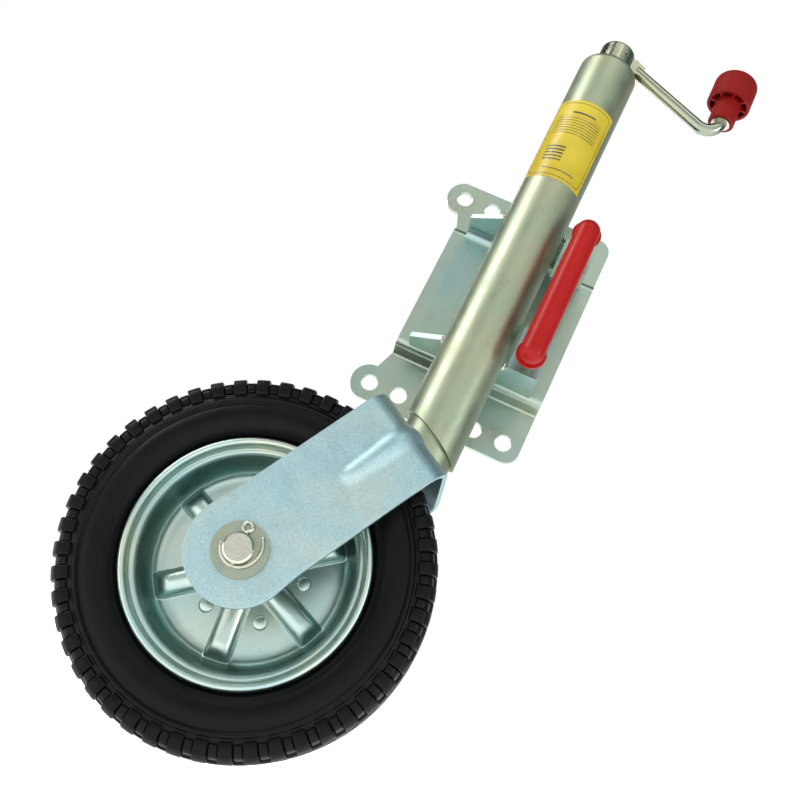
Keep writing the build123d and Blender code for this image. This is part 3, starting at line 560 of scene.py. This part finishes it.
def bentSplitPin():
    low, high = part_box("split_pin")
    level = (low.y + high.y) / 2
    lean = splitPin["lean"]
    side = Vector((math.cos(lean), 0, math.sin(lean)))
    upward = Vector((-math.sin(lean), 0, math.cos(lean)))
    centre = Vector((wheelCentre.x, level, wheelCentre.z))
    runs = []
    bow, eye, half = splitPin["bow"], splitPin["eye"], splitPin["wire"] * splitPin["apart"]
    for hand in (-1, 1):
        run = []
        sweep, opening = splitPin["legs"][hand]
        count = splitPin["eyeSteps"]
        for i in range(count + 1):                        # half of the eye
            a = math.pi / 2 - math.pi * splitPin["eyeTurn"] * i / count
            run.append(centre + upward * (bow + eye + eye * math.sin(a)) + side * hand * eye * math.cos(a))
        count = splitPin["shankSteps"]
        for i in range(1, count):                         # shank
            run.append(centre + upward * (bow - 2 * bow * i / count) + side * hand * half)
        count = splitPin["legSteps"]
        for i in range(count + 1):                        # leg bent back round the axle
            a = -math.pi / 2 + sweep * i / count
            flare = 1 + opening * (i / count) ** splitPin["flare"]
            run.append(centre + upward * bow * flare * math.sin(a) + side * hand * bow * flare * math.cos(a))
        runs.append(run)
    piece = wirePiece("bentSplitPin", runs, splitPin["wire"], "bare_steel", "castor")
    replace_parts(piece, "split_pin")


bentSplitPin()
print("split pin made")


# pressed rim halves
rim = {
    "around": 720, "ribs": 6, "ribPhase": math.radians(-82.4), "ribHalf": 0.0092, "ribHeight": 0.0090,
    "ribFrom": 0.022, "ribTo": 0.0685, "ribEnd": 0.0672, "facetSlope": 1.0, "endRound": 0.005,
    "fillet": 0.0016, "sheet": 0.002, "rivetRing": 0.0385, "rivetSides": 24,
    "flatFrom": 0.0232, "flatWide": 0.0358, "flatSteps": 44,
    # line of a rivet's head, as (radius, out)
    "head": [(0.0, 0.0036), (0.0034, 0.0035), (0.0043, 0.0032), (0.0049, 0.0026), (0.0052, 0.0020)],
    "inner": [(0.0172, 0.0034), (0.0185, 0.0037), (0.0200, 0.0036), (0.0215, 0.0028), (0.0225, 0.0021)],
    "outer": [(0.0590, 0.0020), (0.0622, 0.0023), (0.0652, 0.0036), (0.0676, 0.0062), (0.0692, 0.0100),
              (0.0704, 0.0150), (0.0714, 0.0200), (0.0722, 0.0232), (0.0736, 0.0250), (0.0752, 0.0256),
              (0.0764, 0.0256), (0.0772, 0.0264), (0.0777, 0.0290), (0.0785, 0.0314), (0.0800, 0.0325),
              (0.0816, 0.0325), (0.0830, 0.0315), (0.0838, 0.0295), (0.0838, 0.0268)],
}


def rimLine():
    steps = rim["flatSteps"]
    flat = [(rim["flatFrom"] + rim["flatWide"] * i / steps, rim["sheet"]) for i in range(steps)]
    return rim["inner"] + flat + smoothLine(rim["outer"], 3)


# The larger of two heights, rounded where they meet
def softMax(a, b, blend):
    gap = max(blend - abs(a - b), 0) / blend
    return max(a, b) + gap * gap * blend / 4


def ribHeight(radius, angle):
    pitch = 2 * math.pi / rim["ribs"]
    off = (angle - rim["ribPhase"] + pitch / 2) % pitch - pitch / 2
    across = radius * math.sin(off)
    along = radius * math.cos(off)
    inside = 1 - (across / rim["ribHalf"]) ** 2
    if inside <= 0 or along < rim["ribFrom"]:
        return 0.0
    facet = (rim["ribEnd"] - along) * rim["facetSlope"]
    crest = rim["ribHeight"] * math.sqrt(inside)
    # the end's slant runs softly into the rib's round
    return max(-softMax(-crest, -facet, rim["endRound"]), 0.0)


def rimHalf(side, name, node):
    bm = bmesh.new()
    line = rimLine()
    rings = []
    for k in range(rim["around"]):
        angle = 2 * math.pi * k / rim["around"]
        ring = []
        for r, out in line:
            lift = ribHeight(r, angle) if rim["ribFrom"] < r < rim["ribTo"] else 0.0
            if lift:
                out = softMax(out, rim["sheet"] + lift, rim["fillet"])
            ring.append(bm.verts.new(wheelPoint(r, side * out, angle)))
        rings.append(ring)
    for k in range(rim["around"]):
        here, there = rings[k], rings[(k + 1) % rim["around"]]
        for i in range(len(line) - 1):
            quad = (here[i], here[i + 1], there[i + 1], there[i])
            bm.faces.new(quad if side > 0 else quad[::-1])
    piece = meshPiece(name, bm, "rim_zinc", "wheel")
    sheet = piece.modifiers.new("sheet", "SOLIDIFY")
    sheet.thickness = rim["sheet"]
    sheet.offset = -1
    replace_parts(piece, node)


rimHalf(1, "rimNearPressing", "rim_near")
rimHalf(-1, "rimFarPressing", "rim_far")


# Domed rivet heads
def rimRivets():
    bm = bmesh.new()
    head, sides = rim["head"], rim["rivetSides"]
    for side in (-1, 1):
        for k in range(rim["ribs"]):
            angle = rim["ribPhase"] + math.pi / rim["ribs"] + 2 * math.pi * k / rim["ribs"]
            centre = wheelPoint(rim["rivetRing"], 0, angle)
            top = bm.verts.new(centre + Vector((0, -side * head[0][1], 0)))
            previous = None
            for r, out in head[1:]:
                turns = [2 * math.pi * s / sides for s in range(sides)]
                ring = [bm.verts.new(centre + Vector((r * math.cos(a), -side * out, r * math.sin(a))))
                        for a in turns]
                for s in range(sides):
                    t = (s + 1) % sides
                    bm.faces.new((top, ring[s], ring[t]) if previous is None
                                 else (previous[s], ring[s], ring[t], previous[t]))
                previous = ring
            bm.faces.new(previous)
    bmesh.ops.recalc_face_normals(bm, faces=bm.faces)
    piece = meshPiece("rimRivetHeads", bm, "rim_zinc", "wheel")
    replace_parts(piece, "rim_rivets")


rimRivets()
print("rim made")


# fork
fork = {
    "rake": math.radians(28.5), "shift": -0.0069, "top": -0.1567, "drop": 0.139, "endRadius": 0.036,
    "half": 0.0605, "bend": 0.020, "left": 0.035, "right": 0.034, "sheet": 0.004,
    "edge": 0.0009, "blend": 0.02, "footLift": 0.00015,
    "acrossSteps": 40, "bendSteps": 14, "armSteps": 70, "crownSteps": 12,
    # rib: where it starts and how high it stands, then lengths along the strap over which it widens,
    # rises at its foot and runs out over the bend
    "ribStart": -0.062, "ribRise": 0.0027, "ribHalf": 0.0068, "ribWiden": 0.0040, "ribGrow": 0.045,
    "ribEase": 0.010, "ribFade": 0.062, "ribFadeOver": 0.022,
}
forkAcross = Vector((math.cos(fork["rake"]), 0, -math.sin(fork["rake"])))
forkUp = Vector((math.sin(fork["rake"]), 0, math.cos(fork["rake"])))
forkOrigin = Vector((0, tubeY, fork["top"])) + forkAcross * fork["shift"]


# Outer line over the fork as (out, up, outward out, outward up), near foot to far foot
def forkPath():
    foot = -(fork["drop"] + fork["endRadius"])
    flat = fork["half"] - fork["bend"]
    bends, steps, over = fork["bendSteps"], fork["armSteps"], fork["crownSteps"]
    arm = [foot + fork["footLift"]]
    arm += [foot + fork["endRadius"] * (1 - math.cos(math.pi / 2 * i / bends)) for i in range(1, bends + 1)]
    arm += [-fork["drop"] + (fork["drop"] - fork["bend"]) * i / steps for i in range(1, steps)]
    near = [(fork["half"], up, 1, 0) for up in arm]
    corner = []
    for i in range(bends + 1):
        a = math.pi / 2 * i / bends
        corner.append((flat + fork["bend"] * math.cos(a), -fork["bend"] + fork["bend"] * math.sin(a),
                       math.cos(a), math.sin(a)))
    crown = [(flat * (1 - i / over), 0, 0, 1) for i in range(1, over + 1)]
    half = near + corner + crown
    return half + [(-o, u, -no, nu) for o, u, no, nu in reversed(half[:-1])]


# How far the strap reaches to the left and to the right at a height
def strapHalves(up):
    below = -fork["drop"] - up
    if below <= 0:
        # the round foot blends into the straight edges
        share = min(1, (up + fork["drop"]) / fork["blend"])
        return (fork["endRadius"] + (fork["left"] - fork["endRadius"]) * share,
                fork["endRadius"] + (fork["right"] - fork["endRadius"]) * share)
    width = math.sqrt(max(fork["endRadius"] ** 2 - below ** 2, 1e-7))
    return width, width


# Stiffening rib pressed out of the arm and over the bend
def ribLift(across, travel):
    if travel < 0:
        return 0.0
    grow = min(travel / fork["ribGrow"], 1)
    half = fork["ribHalf"] + fork["ribWiden"] * grow
    start = min(travel / fork["ribEase"], 1)
    fade = 1 - min(max((travel - fork["ribFade"]) / fork["ribFadeOver"], 0), 1)
    t = abs(across) / half
    if t >= 1:
        return 0.0
    shape = (1 - t * t) ** 2
    easeIn = math.sin(start * math.pi / 2)
    return fork["ribRise"] * (0.75 + 0.25 * grow) * shape * easeIn * fade * fade * (3 - 2 * fade)


def forkPressing():
    bm = bmesh.new()
    rows = []
    path = forkPath()
    travel = {}
    for ends in (1, -1):
        line = path if ends > 0 else path[::-1]
        run = 0.0
        for i, p in enumerate(line[:len(path) // 2 + 1]):
            if i and p[1] > fork["ribStart"]:
                q = line[i - 1]
                inside = q[1] > fork["ribStart"]
                run += math.hypot(p[0] - q[0], p[1] - q[1]) if inside else p[1] - fork["ribStart"]
            travel[i if ends > 0 else len(path) - 1 - i] = run if p[1] > fork["ribStart"] else -1
    for i, (out, up, normalOut, normalUp) in enumerate(path):
        left, right = strapHalves(up)
        row = []
        for j in range(fork["acrossSteps"] + 1):
            across = -left + (left + right) * j / fork["acrossSteps"]
            lift = ribLift(across, travel[i])
            row.append(bm.verts.new(forkOrigin + forkAcross * across + forkUp * (up + normalUp * lift)
                                    + Vector((0, -(out + normalOut * lift), 0))))
        rows.append(row)
    for here, there in zip(rows, rows[1:]):
        for j in range(fork["acrossSteps"]):
            bm.faces.new((here[j], here[j + 1], there[j + 1], there[j]))
    bm.normal_update()
    piece = meshPiece("forkPressing", bm, "fork_zinc", "castor")
    sheet = piece.modifiers.new("sheet", "SOLIDIFY")
    sheet.thickness = fork["sheet"]
    sheet.offset = -1
    bevelPiece(piece, fork["edge"], 50)
    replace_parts(piece, "wheel_fork")


forkPressing()
print("fork made")


# weld beads
beadLook = {"sides": 10, "seed": 5, "ripple": 0.20, "beat": 0.62, "uneven": 0.04, "flat": 0.9,
            "taper": 0.25}


# Overlapping ripples along each run of (point, outward direction, half width)
def beadPiece(name, slot, body, runs):
    bm = bmesh.new()
    for seed, run in enumerate(runs):
        chance = random.Random(seed + beadLook["seed"])
        sides, uneven, flat = beadLook["sides"], beadLook["uneven"], beadLook["flat"]
        rings = []
        for i, (p, out, half) in enumerate(run):
            p, out = Vector(p), Vector(out).normalized()
            nxt = Vector(run[min(i + 1, len(run) - 1)][0])
            prv = Vector(run[max(i - 1, 0)][0])
            along = (nxt - prv).normalized()
            across = along.cross(out).normalized()
            wave = beadLook["ripple"] * abs(math.sin(i * beadLook["beat"]))
            ripple = 1 - beadLook["ripple"] + wave + chance.uniform(-uneven, uneven)
            ends = min(1.0, beadLook["taper"] * (1 + min(i, len(run) - 1 - i)))
            size = half * ripple * ends
            rings.append([bm.verts.new(p + size * (math.cos(2 * math.pi * s / sides) * out * flat
                                                   + math.sin(2 * math.pi * s / sides) * across))
                          for s in range(sides)])
        for here, there in zip(rings, rings[1:]):
            for s in range(sides):
                t = (s + 1) % sides
                bm.faces.new((here[s], here[t], there[t], there[s]))
        bm.faces.new(rings[0][::-1])
        bm.faces.new(rings[-1])
    bmesh.ops.recalc_face_normals(bm, faces=bm.faces)
    piece = meshPiece(name, bm, slot, body)
    softer = piece.modifiers.new("softer", "SUBSURF")
    softer.levels = softer.render_levels = 1
    return piece


tubeBeads = {
    "radius": 0.0250, "level": 0.0615, "half": 0.0031, "steps": 26,
    # left and right of the tube, in degrees from +X round to -Y
    "arcs": ((-250, -188), (-352, -292)),
    "tackSide": 0.0246, "tackLevel": 0.0592, "tackHalf": 0.0033, "tackSteps": 7,
    # hand, and how far the tack's ends stand from the drawbar
    "tacks": ((-1, 0.0585, 0.0685), (1, 0.0600, 0.0690)),
}


def tubeWelds():
    runs = []
    for side in (-1, 1):
        level = side * tubeBeads["level"]
        for start, stop in tubeBeads["arcs"]:
            run = []
            for i in range(tubeBeads["steps"] + 1):
                a = math.radians(start + (stop - start) * i / tubeBeads["steps"])
                r = tubeBeads["radius"]
                point = (r * math.cos(a), tubeY + r * math.sin(a), level)
                run.append((point, (math.cos(a), math.sin(a), side), tubeBeads["half"]))
            runs.append(run)
        # short tacks up the flanges' ends beside the tube
        for hand, low, high in tubeBeads["tacks"]:
            run = []
            for i in range(tubeBeads["tackSteps"] + 1):
                out = low + (high - low) * i / tubeBeads["tackSteps"]
                point = (hand * tubeBeads["tackSide"], -out, side * tubeBeads["tackLevel"])
                run.append((point, (hand, -0.6, side * 0.5), tubeBeads["tackHalf"]))
            runs.append(run)
    piece = beadPiece("tubeWeldBeads", "weld_metal", "swivel", runs)
    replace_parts(piece, "tube_welds")


forkBead = {"tubeRadius": 0.0212, "off": 0.0009, "up": 0.0007, "half": 0.0017, "steps": 96, "lean": 0.8}


def forkWeld():
    run = []
    reach, lean = forkBead["tubeRadius"] + forkBead["off"], forkBead["lean"]
    for i in range(forkBead["steps"] + 1):
        a = 2 * math.pi * i / forkBead["steps"]
        across = -fork["shift"] + reach / math.cos(fork["rake"]) * math.cos(a)
        p = (forkOrigin + forkAcross * across + forkUp * forkBead["up"]
             + Vector((0, -reach * math.sin(a), 0)))
        out = forkUp + forkAcross * math.cos(a) * lean + Vector((0, -math.sin(a) * lean, 0))
        run.append((p, out, forkBead["half"]))
    piece = beadPiece("forkWeldBead", "weld_metal", "castor", [run])
    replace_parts(piece, "fork_weld")


tubeWelds()
forkWeld()
print("weld beads made")


# floor, light and camera
def addArea(name, place, aim, size, power, colour=(1, 1, 1)):
    light = bpy.data.lights.new(name, "AREA")
    light.shape = "RECTANGLE"
    light.size, light.size_y = size
    light.energy = power
    light.color = colour
    lamp = bpy.data.objects.new(name, light)
    bpy.context.scene.collection.objects.link(lamp)
    lamp.location = place
    lamp.rotation_euler = (Vector(aim) - Vector(place)).to_track_quat("-Z", "Y").to_euler()


def makeFloor():
    floorMaterial, tree, shader = newMaterial("paleFloor")
    coord = addNode(tree, "ShaderNodeTexCoord").outputs["Object"]
    pale = ramp(tree, noise(tree, coord, 3, 3), [(0.3, (0.90, 0.90, 0.90)), (0.7, (0.93, 0.93, 0.93))])
    tree.links.new(pale, shader.inputs["Base Color"])
    shader.inputs["Roughness"].default_value = 0.9
    shader.inputs["Emission Color"].default_value = (1, 1, 1, 1)
    shader.inputs["Emission Strength"].default_value = 1.0
    mesh = bpy.data.meshes.new("floor")
    reach, level = 60.0, cadBox[0][2]
    corners = [(-reach, -reach, level), (reach, -reach, level), (reach, reach, level), (-reach, reach, level)]
    mesh.from_pydata(corners, [], [(0, 1, 2, 3)])
    floor = bpy.data.objects.new("floor", mesh)
    bpy.context.scene.collection.objects.link(floor)
    mesh.materials.append(floorMaterial)


def makeWorld():
    world = bpy.data.worlds.new("studio")
    bpy.context.scene.world = world
    world.use_nodes = True
    tree = world.node_tree
    background = tree.nodes["Background"]
    coord = addNode(tree, "ShaderNodeTexCoord").outputs["Generated"]
    split = addNode(tree, "ShaderNodeSeparateXYZ")
    tree.links.new(coord, split.inputs["Vector"])
    # bright in front, dark to the sides, quieter behind
    depth = remap(tree, split.outputs["Y"], 0.0, 1.0, -1.0, 1.0)
    sky = ramp(tree, depth, [(0.0, (0.80, 0.83, 0.82)), (0.14, (0.56, 0.61, 0.60)),
                             (0.32, (0.16, 0.24, 0.25)), (0.46, (0.05, 0.09, 0.10)),
                             (0.62, (0.09, 0.12, 0.13)), (1.0, (0.50, 0.53, 0.53))])
    below = remap(tree, split.outputs["Z"], 3.0, 0.7, -0.95, -0.45)
    lift = mathNode(tree, "MAXIMUM", below, remap(tree, split.outputs["Z"], 0.75, 1.45, -0.6, 0.9))
    sky = mixColour(tree, 1.0, sky, lift, "MULTIPLY")
    sideways = remap(tree, split.outputs["X"], 0.68, 1.35, -0.28, 0.12)
    sky = mixColour(tree, 1.0, sky, sideways, "MULTIPLY")
    seen = addNode(tree, "ShaderNodeLightPath").outputs["Is Camera Ray"]
    tree.links.new(mixColour(tree, seen, sky, (1.0, 1.0, 1.0)), background.inputs["Color"])
    background.inputs["Strength"].default_value = 1.0


makeFloor()
makeWorld()
# name, place, size and power of each light, all aimed at one point
lightAim = (0.0, -0.05, -0.05)
addArea("key", (-1.7, -0.8, 0.9), lightAim, (0.7, 1.3), 26)
addArea("fill", (1.5, -0.9, -0.1), lightAim, (0.5, 1.2), 9, (0.96, 0.98, 1.0))
addArea("front", (-0.25, -1.5, 1.9), lightAim, (1.4, 0.5), 4)
addArea("back", (-0.6, 1.6, 0.8), lightAim, (1.2, 0.8), 12)

# the photograph's camera: its right, its up and the way back from its subject
view = {"lens": 43.43, "sensor": 36, "place": (0.0492, -0.7347, -0.3454),
        "axes": ((0.9031, -0.0332, 0.4281), (-0.4133, -0.3375, 0.8457), (0.1164, -0.9407, -0.3185))}
lens = bpy.data.cameras.new("camera")
lens.lens = view["lens"]
lens.sensor_width = view["sensor"]
camera = bpy.data.objects.new("camera", lens)
bpy.context.scene.collection.objects.link(camera)
camera.matrix_world = Matrix.Translation(view["place"]) @ Matrix(view["axes"]).transposed().to_4x4()
bpy.context.scene.camera = camera
bpy.context.scene.view_settings.view_transform = "Standard"
print("stage set")
